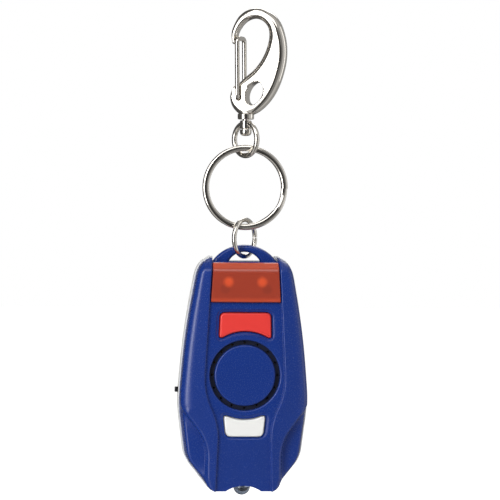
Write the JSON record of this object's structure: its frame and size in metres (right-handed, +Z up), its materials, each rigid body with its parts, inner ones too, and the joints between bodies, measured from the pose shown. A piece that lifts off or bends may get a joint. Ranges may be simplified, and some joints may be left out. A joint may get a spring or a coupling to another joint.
{
  "type": "personal safety alarm",
  "caption": "Hand-held personal alarm with strobe window, siren, alarm and torch buttons and a torch lamp, hung on a jump ring, a split key ring and a swivel snap hook.",
  "frame": {"origin": "the inside of the hook's arch, straight above the swivel, where the hook bears on what it hangs from", "axes": "+Z up along the hanging line, the alarm's front faces -Y, +X to the right of someone who looks at the front"},
  "size_m": [0.0398, 0.0166, 0.1462],
  "materials": {
    "nickel_plate": "bright nickel plate on cast zinc and on steel wire",
    "blue_abs": "moulded, satin gloss",
    "white_abs": "moulded, satin gloss",
    "red_abs": "moulded, satin",
    "amber_polycarbonate": "moulded, tinted, polished",
    "clear_epoxy": "cast, clear",
    "tinned_steel": "tinned sheet and wire",
    "zinc_screw": "zinc-plated",
    "black_nylon": "moulded, matt",
    "chip_epoxy": "moulded, matt",
    "brass": "rolled sheet",
    "ceramic": "fired, silvered",
    "glass_epoxy_board": "solder mask",
    "aluminium_can": "drawn can",
    "ferrite": "sintered",
    "enamelled_copper": "enamelled wire",
    "cell_can": "nickel-plated can, mean density of a filled cell"
  },
  "bodies": {
    "hook": {"hook_body": "nickel_plate", "swivel_rivet": "nickel_plate"},
    "gate": {"gate_wire": "nickel_plate"},
    "swivel": {"swivel_eye": "nickel_plate"},
    "key_ring": {"split_ring": "nickel_plate"},
    "link": {"jump_ring": "nickel_plate"},
    "alarm": {"front_shell": "blue_abs", "rear_shell": "white_abs", "strobe_lens": "amber_polycarbonate", "strobe_leds": "clear_epoxy", "strobe_led_leads": "tinned_steel", "alarm_switch": "black_nylon", "torch_switch": "black_nylon", "siren_cap": "blue_abs", "siren_capsule": "black_nylon", "piezo_plate": "brass", "piezo_ceramic": "ceramic", "siren_contacts": "brass", "torch_led": "clear_epoxy", "torch_led_leads": "tinned_steel", "slide_switch": "tinned_steel", "circuit_board": "glass_epoxy_board", "control_chip": "chip_epoxy", "reservoir_capacitor": "aluminium_can", "boost_coil": "ferrite", "boost_winding": "enamelled_copper", "button_cells": "cell_can", "cell_springs": "tinned_steel", "cell_plates": "tinned_steel", "case_screws": "zinc_screw"},
    "alarm_key": {"alarm_button": "red_abs", "alarm_switch_plunger": "red_abs"},
    "torch_key": {"torch_button": "white_abs", "torch_switch_plunger": "white_abs"},
    "slide_key": {"switch_knob": "black_nylon"}
  },
  "joints": [
    {"name": "gate_pivot", "type": "hinge", "parent": "hook", "child": "gate", "pos_m": [-0.00144, 0.0007, -0.0226], "axis": [0.4384, 0.8988, 0], "range_deg": [0, 25], "stiffness_Nm_per_rad": 0.05, "springref_deg": -17.19},
    {"name": "swivel_turn", "type": "hinge", "parent": "hook", "child": "swivel", "pos_m": [0, 0, -0.0306], "axis": [0, 0, 1], "continuous": true},
    {"name": "key_ring_swing", "type": "hinge", "parent": "swivel", "child": "key_ring", "pos_m": [0, 0, -0.0398], "axis": [0.6293, -0.7771, 0], "range_deg": [-38, 38]},
    {"name": "link_swing", "type": "hinge", "parent": "key_ring", "child": "link", "pos_m": [0, 0, -0.06113], "axis": [-1, 0, 0], "range_deg": [-60, 60]},
    {"name": "alarm_swing", "type": "hinge", "parent": "link", "child": "alarm", "pos_m": [0, 0, -0.06996], "axis": [0.6293, 0.7771, 0], "range_deg": [-38, 38]},
    {"name": "alarm_press", "type": "slide", "parent": "alarm", "child": "alarm_key", "axis": [0, 1, 0], "range_m": [0, 0.0005], "stiffness_N_per_m": 2000, "springref_m": -0.0003},
    {"name": "torch_press", "type": "slide", "parent": "alarm", "child": "torch_key", "axis": [0, 1, 0], "range_m": [0, 0.0005], "stiffness_N_per_m": 2000, "springref_m": -0.0003},
    {"name": "knob_slide", "type": "slide", "parent": "alarm", "child": "slide_key", "axis": [0, 0, 1], "range_m": [0, 0.002]}
  ]
}
